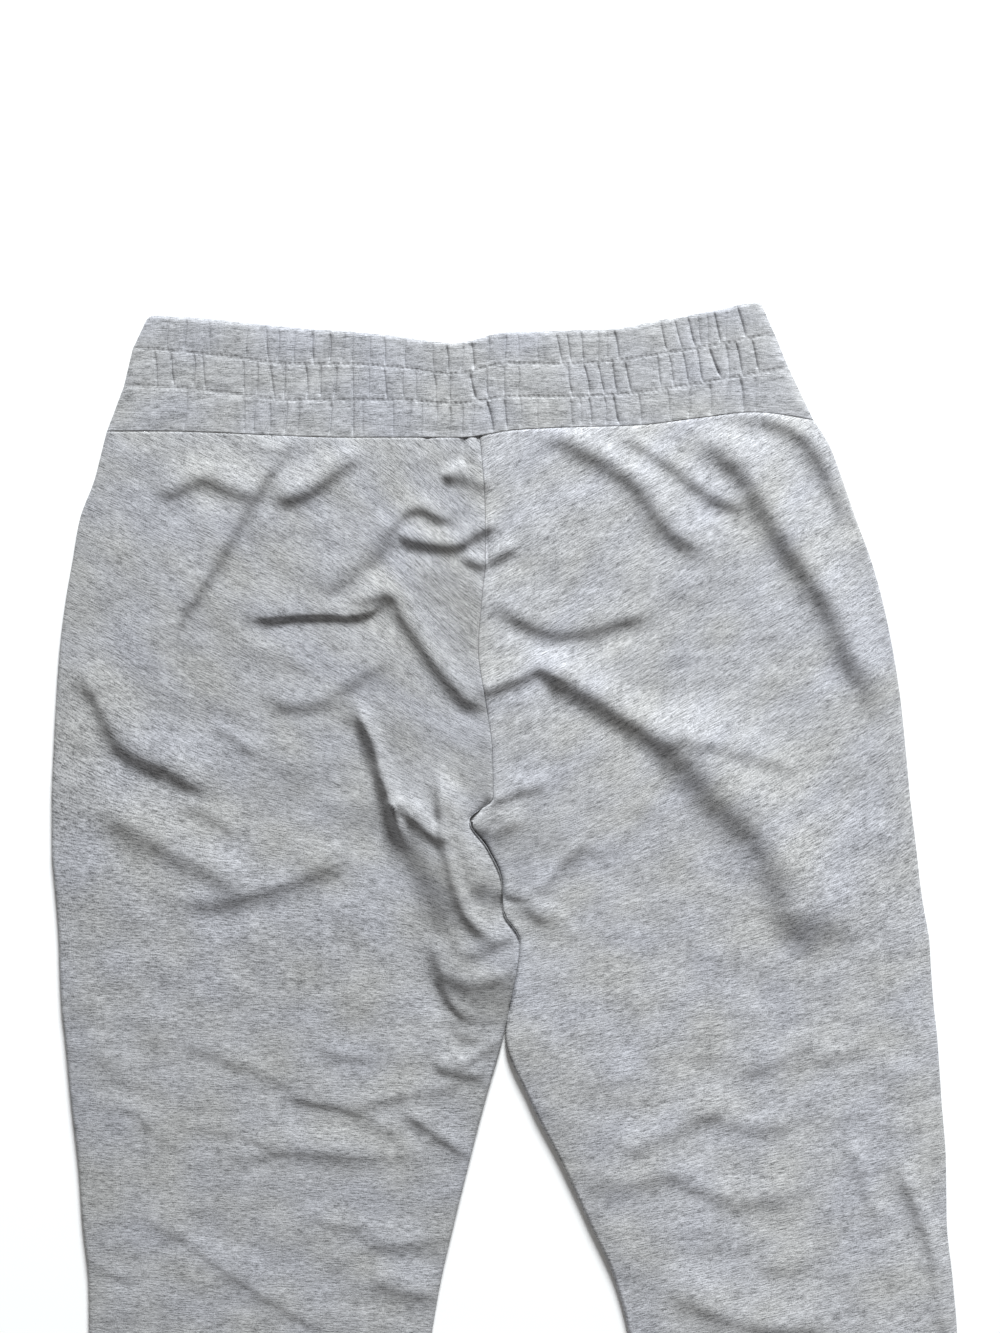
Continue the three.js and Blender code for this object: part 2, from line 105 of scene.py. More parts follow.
# Shape of all folds and creases, whose own sizes are in the tables below
FOLD_GAIN = 1.35
FOLD_SHIFT = -0.4
FOLD_FADE = 0.2
END_WIDENING = 0.7
FOOT_BEND = 0.45
CREASE_FADE = 0.3
CREASE_SOFTNESS = 0.6

# Crotch: above it the two backs meet in a seam, below it the left leg lies against the right
SEAM_ENDS = 290
FOLD_STARTS = 318
FLAP_ENDS = 380
LEG_SPLIT = 423

# Waistband: three elastic channels between lines of stitching
BAND_LEAST = 1.8
PUFF = 0.75
SWELL = 0.35
CHANNEL_HEIGHT = 21
STITCH_WIDTH = 0.55
STITCH_LENGTH = 2.8
STITCH_DIP = 0.35
GATHER_LEAST = 0.55
GATHER_DEPTH = 1.2
GATHER_REACH = 0.6
GATHER_BOW = 0.8
GATHER_HOLLOW = 0.3
GATHER_HOLLOW_REACH = 3
FINE_CREASES = 40
FINE_CREASE_SPAN = (-215, 165)
FINE_CREASE_LEAN = 1.5
FINE_CREASE_DEPTH = (0.05, 0.3)
FINE_CREASE_REACH = (0.9, 2)
MOST_CREASE = 2
TOP_EDGE = 1
TOP_ROUND = 0.12
CORNER_ROUND = 6
FOOT_GROOVE = 0.1
GATHER_START = 4.6
FRONT_BAND_END = 0.97

# Rib cuffs, and the gathers where the legs are drawn in to them
CUFF_WAIST = 4
RIB_LEAST = 1.6
RIB_COUNT = 30
RIB_HEIGHT = 0.8
HEM_GATHERS = 9
HEM_GATHER_HEIGHT = 1.8
HEM_GATHER_REACH = 35

# Slope of the knit's rows: below the hips, how much more at the hips, and between which heights
# it eases. Each side's rows are level at its middle, and the left ones bend once more inwards.
LEFT_SLOPE = (0.04, 0.43, 190, 360)
INNER_SLOPE = (0, 0.45, 320, 420)
RIGHT_SLOPE = (0.22, 0.33, 240, 400)
LEFT_MIDDLE = -130
INNER_MIDDLE = -42
INNER_REACH = 35
RIGHT_MIDDLE = 125

# How finely each piece is divided
PANEL_STEP = 1.5
LOW_STEP = 3.5
LOW_FROM = 530
BAND_COLUMNS = 1100
BAND_ROWS = 24
CUFF_COLUMNS = 360
CUFF_ROWS = 24
INNER_COLUMNS = 40
CUFF_INNER_COLUMNS = 30
CHANNEL_INNER_ROWS = 4
COARSE = 6
BOW_REACH = 25
PATH_SAMPLES = 28
PATH_TAIL = 5
SPLINE_STEPS = 12


def grid(points):
    """Turns points on the drawing grid into x and down."""
    return [((u - GRID_AXIS) * GRID, (v - GRID_TOP) * GRID) for u, v in points]


# Outline of the two legs: down, left outer, left inner, right inner, right outer
SECTIONS = [
    (69.5, -226.5, -14.5, -14.5, 177.5),
    (76, -228.5, -14.5, -14.5, 182),
    (86, -231, -13.5, -13.5, 187.5),
    (103.5, -235.5, -12, -12, 194),
    (126.5, -244, -11, -11, 202),
    (149.5, -248, -11, -11, 210.5),
    (172.5, -252, -13, -13, 217),
    (201, -255.5, -15, -15, 223),
    (230, -257.5, -11, -11, 227.5),
    (259, -259, -7, -7, 230.5),
    (286, -260, -6.5, -6.5, 233),
    (298.5, -260, -20, -20, 234.5),
    (315, -260, -9.5, -9.5, 236.5),
    (333.5, -258.5, -1.5, -1.5, 238.5),
    (351, -257, -0.5, -0.5, 241),
    (368, -256, 9, 9, 244),
    (385, -255.5, 7, 7, 245),
    (405.5, -254.5, 3, 3, 246.5),
    (423, -252.5, -0.5, 0.5, 248.5),
    (460, -249, -11, 14.5, 251),
    (494.5, -245, -20, 32, 253.5),
    (529, -242.5, -28.5, 48, 254),
    (563.5, -239, -36.5, 63.5, 257.5),
    (598, -238.5, -42.5, 72, 260),
    (661, -237, -53, 78, 256),
    (747.5, -235.5, -67.5, 86, 250.5),
    (833.5, -233.5, -82, 93.5, 244),
    (907, -233, -94, 100, 239.5),
    (920, -219, -108.5, 113.5, 225),
]

# Waistband, at even steps from left to right: how far down its top, stitch lines and seam lie
BAND_LINES = [
    (9, 28, 49.5, 76),
    (10.5, 30.5, 51, 76),
    (13.5, 34, 54.5, 77),
    (16.5, 37.5, 58, 78.5),
    (18.5, 37.5, 58, 79.5),
    (21.5, 39.5, 58, 79.5),
    (25, 43, 60, 79.5),
    (19, 37, 56, 75),
    (18, 37.5, 56, 73.5),
    (17, 35.5, 54.5, 72.5),
    (12, 31, 50.5, 68.5),
    (6.5, 26, 45, 65),
    (0, 19.5, 39, 69.5),
]

# Left and right end of each of those lines
BAND_ENDS = [(-206.5, 148.5), (-213.5, 155), (-218.5, 163), (-228.5, 177.5)]

# Gathers of each channel on the drawing grid: across at its top, across at its foot, strength
GATHERS = [
    [(171, 167, 0.5), (188, 184, 0.9), (210, 210, 0.2), (249, 247, 0.5), (267, 269, 0.7),
     (279, 277, 0.7), (297, 294, 0.5), (313, 314, 1.2), (330, 329, 1.1), (346, 341, 0.7),
     (354, 352, 0.3), (370, 370, 0.3), (384, 385, 0.6), (406, 405, 0.5), (433, 434, 0.5),
     (446, 448, 1.1), (464, 460, 0.8), (471, 474, 1.3), (489, 487, 0.8), (506, 504, 1),
     (517, 517, 0.3), (538, 538, 0.3), (555, 562, 0.5), (566, 571, 0.6), (581, 583, 0.8),
     (598, 597, 0.7), (607, 607, 0.3), (613, 618, 1.7), (627, 624, 0.3), (660, 667, 0.6),
     (673, 682, 0.5), (687, 695, 1.2), (698, 701, 0.4), (706, 706, 0.5), (713, 720, 1.4),
     (727, 725, 0.5), (736, 745, 1.3)],
    [(155, 157, 0.7), (172, 175, 1), (195, 193, 0.9), (203, 206, 0.6), (245, 245, 0.6),
     (258, 257, 0.7), (270, 275, 0.7), (286, 284, 0.9), (306, 307, 1), (322, 321, 1),
     (337, 334, 1), (353, 353, 0.8), (369, 369, 0.5), (384, 387, 0.6), (403, 404, 0.5),
     (416, 416, 0.5), (434, 435, 0.7), (451, 450, 0.8), (470, 477, 1.4), (487, 488, 0.7),
     (504, 504, 0.6), (518, 517, 0.3), (568, 572, 0.7), (583, 589, 0.7), (597, 604, 0.8),
     (612, 617, 1.4), (624, 631, 0.8), (657, 661, 0.7), (668, 673, 0.6), (682, 688, 0.8),
     (697, 702, 1), (708, 721, 1.3), (725, 728, 0.7), (735, 741, 1.2), (751, 758, 1.1)],
    [(188, 184, 0.4), (245, 245, 0.5), (257, 254, 0.6), (270, 269, 0.6), (288, 284, 0.7),
     (300, 297, 0.6), (332, 329, 1), (354, 353, 1), (363, 363, 0.3), (393, 393, 0.5),
     (412, 407, 0.6), (422, 420, 0.4), (437, 433, 0.7), (450, 448, 0.8), (463, 462, 0.8),
     (475, 471, 0.7), (486, 493, 1.3), (504, 507, 1.2), (520, 520, 0.3), (538, 538, 0.3),
     (570, 572, 0.5), (580, 581, 0.3), (588, 591, 0.7), (604, 605, 0.6), (613, 619, 1.4),
     (638, 641, 0.6), (667, 669, 0.5), (691, 688, 0.7), (709, 709, 1), (729, 725, 0.7),
     (739, 742, 1.2), (755, 755, 0.4)],
]

# Soft folds: path on the drawing grid, crest, trough, steep, left reach, right reach. The side to
# the left of the way of travel stands up by the crest and the right side dips by the trough.
STEPS = [
    # Left hip
    ([(250, 622), (280, 619), (320, 617), (350, 618), (372, 613), (388, 603)],
     1.7, 1.2, 1.4, 16, 12),
    ([(352, 612), (378, 600), (392, 600), (400, 617), (412, 635), (425, 655), (440, 675),
      (455, 692), (470, 706), (492, 712)], 3, 2.3, 3.4, 10, 10),
    ([(170, 795), (173, 760), (176, 725), (180, 685), (181, 650), (184, 625), (190, 612),
      (200, 598), (215, 575), (228, 552), (240, 530), (258, 500), (278, 468), (300, 440),
      (322, 410)], 3.2, 1.5, 3.4, 16, 8),
    ([(276, 506), (292, 502), (310, 496), (328, 483), (342, 472), (354, 464), (366, 454)],
     4, 2.2, 4.4, 12, 10),
    ([(165, 503), (190, 490), (208, 484), (228, 493), (256, 503)], 3.4, 2, 5, 12, 10),
    ([(254, 446), (275, 453), (294, 440)], 1.8, 1, 3.4, 8, 7),
    ([(466, 436), (465, 452), (458, 464), (444, 474)], 2.4, 1.4, 2.2, 6, 6),
    ([(446, 479), (465, 484), (484, 489)], 2.4, 1.2, 4, 8, 8),
    ([(388, 537), (396, 528), (406, 517), (420, 512), (434, 518), (450, 527)], 2.2, 1.5, 2.8, 8, 6),
    ([(394, 530), (406, 541), (425, 546), (448, 549), (464, 546), (476, 537), (500, 526)],
     3.1, 2, 3, 7, 8),
    ([(464, 560), (480, 567), (494, 562), (514, 550)], 2.8, 1.8, 3, 6, 8),
    ([(326, 600), (350, 582), (374, 560), (400, 538)], 2, 2.6, 6, 16, 10),
    ([(238, 649), (260, 657), (285, 665), (312, 676)], 0.7, 0.5, 4.6, 10, 10),
    ([(262, 699), (284, 708), (305, 710), (325, 704), (345, 693), (360, 682), (376, 674),
      (396, 671)], 1.6, 1.1, 4.2, 12, 10),
    ([(66, 678), (85, 690), (96, 705), (106, 725), (120, 750), (135, 760), (150, 767),
      (170, 775), (185, 785), (218, 802)], 3.3, 2.4, 4.4, 18, 10),
    ([(216, 732), (232, 737), (250, 753)], 1.1, 0.5, 2.5, 6, 6),
    ([(238, 746), (262, 762), (285, 776), (314, 791)], 1.5, 1.2, 10, 14, 16),
    ([(176, 807), (200, 813), (218, 824), (238, 837)], 1.6, 0.9, 4.5, 8, 9),
    ([(92, 812), (120, 830), (145, 843), (165, 855), (180, 865), (200, 873), (225, 885),
      (250, 896)], 3.6, 2.2, 8, 16, 14),
    ([(172, 910), (200, 909), (225, 906), (250, 900), (275, 893), (300, 884), (320, 875),
      (340, 867), (362, 860)], 2.6, 1.5, 5, 18, 12),
    # Crotch
    ([(354, 703), (362, 722), (370, 738), (376, 755), (380, 775), (388, 795), (394, 815),
      (404, 852)], 4.2, 3.2, 2.2, 5, 10),
    ([(344, 712), (362, 745), (378, 785), (394, 834)], 2, 1.7, 7, 9, 14),
    ([(392, 804), (405, 812), (420, 825), (430, 835), (444, 842)], 2.9, 1.2, 2.4, 7, 6),
    ([(380, 784), (398, 824), (417, 864), (432, 900), (442, 935), (447, 970), (455, 1006),
      (468, 1034)], 6, 7, 11, 20, 26),
    ([(430, 940), (438, 970), (443, 990), (452, 1008), (470, 1022)], 2.4, 1.6, 3.2, 8, 10),
    ([(433, 764), (437, 795), (440, 825), (444, 850), (449, 871), (455, 892), (464, 914),
      (480, 934), (498, 946)], 4.8, 1.4, 2.9, 8, 8),
    ([(437, 786), (450, 825), (461, 860), (473, 900)], 4.2, 1.4, 5, 10, 8),
    ([(462, 955), (486, 951), (510, 936)], 1.9, 0.9, 4.4, 9, 8),
    ([(440, 972), (460, 984), (480, 986), (504, 976)], 1.8, 0.9, 4, 9, 9),
    ([(444, 1022), (458, 1034), (474, 1041)], 1.6, 0.9, 4.5, 8, 8),
    # Left leg
    ([(178, 1047), (205, 1053), (232, 1062), (262, 1073), (300, 1094)], 0.7, 0.4, 2.6, 12, 8),
    ([(284, 1098), (312, 1104), (338, 1109), (356, 1116), (374, 1127), (406, 1143)],
     1.1, 0.8, 2.8, 12, 12),
    ([(350, 1109), (378, 1103), (402, 1097), (430, 1093), (466, 1086)], 1.1, 0.6, 3.4, 10, 8),
    ([(404, 1113), (420, 1125), (436, 1137), (452, 1148), (472, 1163)], 1.9, 0.8, 2.6, 8, 8),
    ([(438, 1069), (456, 1073), (478, 1078)], 2.6, 1, 3.4, 9, 7),
    ([(460, 1065), (480, 1056), (500, 1043)], 1.8, 0.8, 2.6, 7, 6),
    ([(198, 1129), (228, 1133), (250, 1138), (274, 1151)], 0.5, 0.2, 2.2, 8, 6),
    ([(212, 1160), (250, 1158), (282, 1154), (312, 1156), (345, 1159), (385, 1160), (420, 1153)],
     1.3, 0.6, 3.6, 14, 10),
    ([(120, 1109), (138, 1115), (150, 1128), (162, 1142)], 0.6, 0.3, 2.4, 8, 6),
    ([(80, 1045), (105, 1065), (130, 1095)], 0.8, 0.4, 5, 14, 10),
    ([(138, 1215), (165, 1230), (188, 1242), (208, 1260), (236, 1280), (262, 1297), (290, 1313),
      (334, 1338)], 0.9, 0.4, 2.8, 14, 10),
    ([(84, 1261), (104, 1270), (130, 1281)], 0.9, 0.3, 2.6, 8, 6),
    ([(366, 1243), (395, 1247), (420, 1243), (448, 1242)], 1, 0.5, 3, 12, 8),
    ([(372, 1282), (400, 1292), (442, 1301)], 1.9, 1.4, 5, 12, 14),
    ([(320, 1220), (342, 1225), (366, 1226)], 1, 0.4, 3, 7, 6),
    ([(320, 1047), (342, 1055), (368, 1058)], 1, 0.4, 3, 8, 8),
    ([(115, 1412), (210, 1460), (310, 1500)], 2, 1, 8, 24, 18),
    ([(278, 1625), (200, 1600), (115, 1622)], 1.8, 1, 8, 20, 20),
    ([(130, 1757), (218, 1792), (313, 1778)], 2, 1, 8, 22, 18),
    # Right hip
    ([(520, 427), (556, 440), (576, 453), (596, 462), (614, 474), (632, 488), (646, 508),
      (662, 530), (682, 549), (708, 568)], 4.8, 3.2, 6, 13, 14),
    ([(610, 437), (640, 452), (668, 470), (694, 490), (720, 506), (750, 515)], 3, 2.6, 5, 10, 9),
    ([(678, 428), (700, 445), (722, 464), (740, 484), (754, 507), (768, 530),
      (784, 556), (808, 588), (826, 618), (840, 652), (856, 690), (870, 726)], 6.6, 4.4, 7, 17, 16),
    ([(700, 412), (740, 417), (772, 424), (796, 437), (814, 458), (828, 486), (842, 524)],
     7, 4.6, 6, 12, 12),
    ([(486, 611), (500, 614), (515, 622), (530, 630), (545, 635), (565, 637), (590, 634),
      (610, 628), (632, 623), (656, 619)], 1.4, 2.5, 4, 12, 11),
    ([(482, 698), (502, 688), (522, 680), (542, 673), (558, 684)], 2.4, 1.5, 3, 10, 7),
    ([(534, 669), (558, 686), (588, 701), (611, 717), (638, 733), (660, 748), (680, 766)],
     5.8, 3.3, 6.4, 14, 14),
    ([(656, 737), (700, 747), (740, 758), (772, 768), (800, 777)], 2, 1, 4.4, 14, 8),
    ([(644, 737), (662, 750), (680, 769), (696, 790), (712, 808), (736, 832), (756, 858),
      (770, 887), (779, 916), (788, 958)], 8, 3.4, 10, 36, 18),
    ([(538, 894), (552, 876), (566, 860), (584, 842)], 2.2, 1.4, 4, 5, 20),
    ([(492, 806), (510, 800), (526, 793), (548, 789)], 1.8, 0.9, 4, 8, 7),
    ([(494, 894), (512, 901), (528, 911), (546, 926)], 2.2, 3.4, 5.5, 8, 14),
    ([(484, 836), (500, 832), (520, 824)], 1.4, 1, 4, 8, 8),
    # Right leg
    ([(740, 1077), (768, 1066), (792, 1056), (816, 1043)], 1.2, 0.7, 3.4, 12, 8),
    ([(786, 1071), (815, 1062), (840, 1055), (866, 1047)], 0.7, 0.4, 3, 8, 8),
    ([(616, 1157), (640, 1150), (660, 1139), (684, 1127), (708, 1115), (730, 1106)],
     1.3, 0.7, 4, 12, 12),
    ([(702, 1117), (730, 1124), (756, 1131), (794, 1127)], 1.2, 1.1, 6, 10, 10),
    ([(582, 1189), (612, 1188), (640, 1184), (668, 1177), (690, 1188), (712, 1197), (738, 1204),
      (766, 1199), (810, 1185)], 1.3, 0.8, 4.6, 14, 12),
    ([(891, 1155), (903, 1185), (914, 1212), (924, 1240), (931, 1270), (936, 1310), (941, 1350)],
     2.6, 1.8, 3.4, 8, 12),
    ([(846, 1145), (858, 1180), (870, 1220)], 1.3, 0.9, 4, 8, 8),
    ([(652, 1299), (684, 1303), (706, 1313), (730, 1322), (768, 1330), (840, 1331)],
     1.8, 0.9, 4.6, 16, 14),
    ([(758, 1268), (785, 1272), (814, 1263)], 0.7, 0.5, 5, 10, 10),
    ([(687, 1440), (783, 1483), (896, 1470)], 2, 1, 8, 24, 18),
    ([(896, 1630), (800, 1608), (696, 1640)], 1.8, 1, 8, 20, 20),
    ([(713, 1765), (800, 1788), (890, 1772)], 2, 1, 8, 22, 18),
]

# Creases: path on the drawing grid, depth, left reach, right reach
CREASES = [
    ([(255, 622), (320, 618), (350, 620), (368, 613)], 0.8, 3, 2.5),
    ([(487, 524), (488, 566)], 1.8, 2, 2),
    ([(185, 604), (182, 640), (181, 670), (179, 700), (176, 735), (172, 775)], 3, 1.6, 4),
    ([(503, 898), (514, 901), (528, 902)], 1, 2.5, 2.5),
    ([(285, 1098), (320, 1105), (350, 1112), (380, 1125), (397, 1137)], 0.5, 2, 2),
    ([(410, 1115), (430, 1130), (450, 1147), (467, 1160)], 0.5, 2, 2),
    ([(250, 1158), (280, 1155), (310, 1153), (350, 1157), (410, 1158)], 0.4, 2, 2),
    ([(170, 1235), (190, 1245), (210, 1260), (240, 1280), (270, 1300), (300, 1320), (320, 1337)],
     0.4, 2, 2),
    ([(245, 1138), (272, 1150)], 0.4, 1.8, 1.8),
    ([(438, 985), (450, 1005), (460, 1015)], 0.8, 2, 2),
    ([(517, 690), (514, 715), (508, 740), (508, 770)], 0.7, 3, 3),
    ([(490, 800), (468, 819)], 2, 3, 3),
    ([(497, 822), (483, 835)], 1.2, 2.5, 2.5),
    ([(495, 803), (510, 800), (525, 793)], 0.8, 3, 3),
    ([(466, 440), (464, 462)], 1.6, 2, 2),
    ([(462, 461), (450, 470)], 0.8, 2, 2),
    ([(478, 440), (480, 456)], 1.2, 2, 2),
    ([(428, 436), (427, 450)], 0.8, 2, 2),
]

# Broad swells and hollows: centre on the drawing grid, height, reach across, reach along, turn
SWELLS = [
    ((545, 495), -1.5, 14, 18, 0),
    ((835, 480), -1, 14, 30, 0),
    ((478, 856), 3, 9, 26, -0.3),
    ((470, 880), 1, 22, 44, -0.3),
]


def smooth(value, low, high):
    share = np.clip((value - low) / (high - low), 0, 1)
    return share * share * (3 - 2 * share)


def mix(a, b, share):
    return a + (b - a) * share


def curve_through(at, value):
    """A smooth curve through the values, which never swings past them."""
    at, value = np.array(at, float), np.array(value, float)
    slope = np.diff(value) / np.diff(at)
    tangent = np.empty_like(value)
    tangent[0], tangent[-1] = slope[0], slope[-1]
    product = slope[:-1] * slope[1:]
    total = slope[:-1] + slope[1:]
    turning = product <= 0
    tangent[1:-1] = np.where(turning, 0, 2 * product / np.where(turning, 1, total))

    def curve(place):
        x = np.clip(place, at[0], at[-1])
        k = np.clip(np.searchsorted(at, x) - 1, 0, len(slope) - 1)
        span = at[k + 1] - at[k]
        t = (x - at[k]) / span
        early = t * (1 - t) ** 2 * span * tangent[k]
        late = t * t * (t - 1) * span * tangent[k + 1]
        return mix(value[k], value[k + 1], t * t * (3 - 2 * t)) + early + late

    return curve


section_down = [row[0] for row in SECTIONS]
LEFT_OUTER, LEFT_INNER, RIGHT_INNER, RIGHT_OUTER = [
    curve_through(section_down, [row[k] for row in SECTIONS]) for k in range(1, 5)
]
band_along = np.linspace(0, 1, len(BAND_LINES))
BAND_CURVES = [curve_through(band_along, [row[k] for row in BAND_LINES]) for k in range(4)]


def waist_seam(x):
    left, right = BAND_ENDS[-1]
    return BAND_CURVES[-1](np.clip((x - left) / (right - left), 0, 1))


def spline(points):
    """Evenly spaced points on a smooth path through the given ones."""
    given = np.array(points, float)
    for end, after in ((0, 1), (-1, -2)):
        way = given[end] - given[after]
        given[end] += way / np.hypot(*way) * PATH_TAIL
    padded = np.vstack([2 * given[0] - given[1], given, 2 * given[-1] - given[-2]])
    fine = []
    for k in range(len(given) - 1):
        p0, p1, p2, p3 = padded[k:k + 4]
        for t in np.linspace(0, 1, SPLINE_STEPS, endpoint=False):
            fine.append(0.5 * (2 * p1 + (p2 - p0) * t + (2 * p0 - 5 * p1 + 4 * p2 - p3) * t**2
                               + (3 * p1 - p0 - 3 * p2 + p3) * t**3))
    fine = np.array(fine + [given[-1]])
    lengths = np.concatenate([[0], np.cumsum(np.hypot(*np.diff(fine, axis=0).T))])
    even = np.linspace(0, lengths[-1], PATH_SAMPLES + 1)
    return np.column_stack([np.interp(even, lengths, fine[:, k]) for k in range(2)])


def near_path(x, down, path, reach):
    """Signed distance to a path, positive on its left, and how far along it that is."""
    line = spline(grid(path)) * (1, -1)
    shape = x.shape
    place = np.column_stack([x.ravel(), -down.ravel()])
    best = np.full(len(place), np.inf)
    along = np.zeros(len(place))
    low, high = line.min(0) - reach, line.max(0) + reach
    close = np.all((place > low) & (place < high), axis=1)
    spots = place[close]
    nearest = np.full(len(spots), np.inf)
    signed = np.full(len(spots), np.inf)
    share = np.zeros(len(spots))
    for k, (start, end) in enumerate(zip(line, line[1:])):
        way = end - start
        off = spots - start
        t = np.clip(off @ way / (way @ way), 0, 1)
        gap = off - t[:, None] * way
        distance = np.hypot(*gap.T)
        side = np.where(way[0] * off[:, 1] - way[1] * off[:, 0] < 0, -1, 1)
        better = distance < nearest
        nearest = np.where(better, distance, nearest)
        signed = np.where(better, distance * side, signed)
        share = np.where(better, (k + t) / PATH_SAMPLES, share)
    best[close] = signed
    along[close] = share
    return best.reshape(shape), along.reshape(shape)


def fade_ends(along, part):
    return smooth(along, 0, part) * smooth(1 - along, 0, part)


def step_fold(x, down, path, crest, trough, steep, left, right):
    signed, along = near_path(x, down, path, 3 * max(left, right))
    away = ~np.isfinite(signed)
    signed = np.where(away, 0, signed) - FOLD_SHIFT
    fade = fade_ends(along, FOLD_FADE)
    width = steep * (1 + END_WIDENING * (1 - fade))
    bend = 1 + FOOT_BEND * (1 - np.tanh(signed / width))
    rise = 0.5 + 0.5 * np.tanh(signed / (width * bend))
    up = FOLD_GAIN * crest * rise * np.exp(-(np.maximum(signed, 0) / left) ** 2)
    dip = FOLD_GAIN * trough * (1 - rise) * np.exp(-(np.minimum(signed, 0) / right) ** 2)
    return np.where(away, 0, (up - dip) * fade)


def crease(x, down, path, depth, left, right):
    signed, along = near_path(x, down, path, 5 * max(left, right))
    away = ~np.isfinite(signed)
    signed = np.where(away, 0, signed)
    reach = np.where(signed > 0, left, right)
    off = np.hypot(signed, CREASE_SOFTNESS) - CREASE_SOFTNESS
    return np.where(away, 0, -depth * np.exp(-off / reach) * fade_ends(along, CREASE_FADE))


def swell(x, down, centre, height, across, along, turn):
    (at_x, at_down), = grid([centre])
    c, s = math.cos(turn), math.sin(turn)
    dx, dy = x - at_x, down - at_down
    return height * np.exp(-((c * dx + s * dy) / across) ** 2 - ((c * dy - s * dx) / along) ** 2)


def ripples(x, down, size, seed):
    """Soft unevenness that repeats nowhere near, as a sum of turned waves."""
    dice = np.random.default_rng(seed)
    total = np.zeros_like(x)
    for _ in range(WAVES):
        angle, phase = dice.uniform(0, 2 * math.pi, 2)
        length = size * dice.uniform(*WAVE_LENGTHS)
        run = x * math.cos(angle) + down * math.sin(angle)
        total += np.sin(run * 2 * math.pi / length + phase)
    return total / math.sqrt(WAVES / 2)


def joined_above_crotch(down):
    return 1 - smooth(down, SEAM_ENDS, FOLD_STARTS)


def touching_above_split(down):
    """The left leg's edge lies on the right leg down to where the two part."""
    return 1 - smooth(down, FLAP_ENDS, LEG_SPLIT)


def puckers(x, from_seam):
    """Small gathers that run down from the waist seam."""
    dice = np.random.default_rng(23)
    total = np.zeros_like(x)
    below = np.maximum(from_seam, 0)
    for _ in range(PUCKERS):
        centre, lean = dice.uniform(*PUCKER_SPAN), dice.normal(0, PUCKER_LEAN)
        reach, strength = dice.uniform(*PUCKER_REACH), dice.uniform(*PUCKER_STRENGTH)
        off = np.abs(x - centre - lean * from_seam)
        total += strength * np.exp(-off / PUCKER_WIDTH - below / reach)
    return PUCKER_DEPTH * total * (1 - np.exp(-below / PUCKER_START))


def loft(x, down):
    """How far the back stands off the front, before the sides round over."""
    low_side, fold_side = np.ones_like(x), np.ones_like(x)
    for inwards, tie in ((x - LEFT_OUTER(down), 0), (RIGHT_OUTER(down) - x, 0),
                         (LEFT_INNER(down) - x, touching_above_split(down)),
                         (x - RIGHT_INNER(down), joined_above_crotch(down))):
        own = np.where(inwards > -0.1, (1 - tie), 0)
        near = np.maximum(inwards, 0)
        low_side = low_side * (1 - own * (1 - SIDE_LOFT) * np.exp(-near / SIDE_REACH))
        fold_side = fold_side * (1 - own * (1 - SIDE_LOFT) * np.exp(-near / FOLD_SIDE_REACH))
    from_seam = np.maximum(np.minimum(down - waist_seam(x), HEM_DOWN - down), 0)
    base = mix(LOFT_HIP, LOFT_ANKLE, smooth(down, LEG_SPLIT, HEM_DOWN))
    free = 1 - np.exp(-from_seam / SEAM_RISE)
    base = LOFT_SEAM + (base - LOFT_SEAM) * free
    folds = RIPPLE * ripples(x, down, RIPPLE_SIZE, 5)
    folds = folds + FINE_RIPPLE * ripples(x * FINE_STRETCH, down + FINE_LEAN * x, FINE_SIZE, 8)
    for fold in STEPS:
        folds = folds + step_fold(x, down, *fold)
    for swelling in SWELLS:
        folds = folds + swell(x, down, *swelling)
    folds = folds * (1 - np.exp(-from_seam / FOLD_SEAM_REACH))
    height = base * mix(1, low_side, np.sqrt(free)) + folds * fold_side
    height = height - puckers(x, down - waist_seam(x))
    for line in CREASES:
        height = height + crease(x, down, *line)
    return np.maximum(height, LEAST_LOFT)


def quarter_round(t):
    return np.sqrt(1 - (1 - np.clip(t, 0, 1)) ** 2)


def place(x, down, z):
    return np.stack([x, LENGTH / 2 - down, z], axis=-1)


def numbered(points, grid_points):
    """Adds a grid's points to the list and returns their numbers as a grid."""
    start = sum(len(block) for block in points)
    points.append(grid_points.reshape(-1, grid_points.shape[-1]))
    return np.arange(start, start + len(points[-1])).reshape(grid_points.shape[:2])


def quads(numbers, up):
    a, b = numbers[:-1, :-1], numbers[1:, :-1]
    c, d = numbers[1:, 1:], numbers[:-1, 1:]
    order = (a, b, c, d) if up else (a, d, c, b)
    return np.stack(order, axis=-1).reshape(-1, 4).tolist()


def strip(places, one, two):
    """Faces between two edges whose points may differ in number, always across the shorter way."""
    faces, i, k = [], 0, 0
    while i + 1 < len(one) or k + 1 < len(two):
        step_one = k + 1 == len(two)
        if not step_one and i + 1 < len(one):
            way_one = math.dist(places[one[i + 1]], places[two[k]])
            step_one = way_one <= math.dist(places[one[i]], places[two[k + 1]])
        if step_one:
            faces.append([int(one[i]), int(two[k]), int(one[i + 1])])
            i += 1
        else:
            faces.append([int(one[i]), int(two[k]), int(two[k + 1])])
            k += 1
    return faces


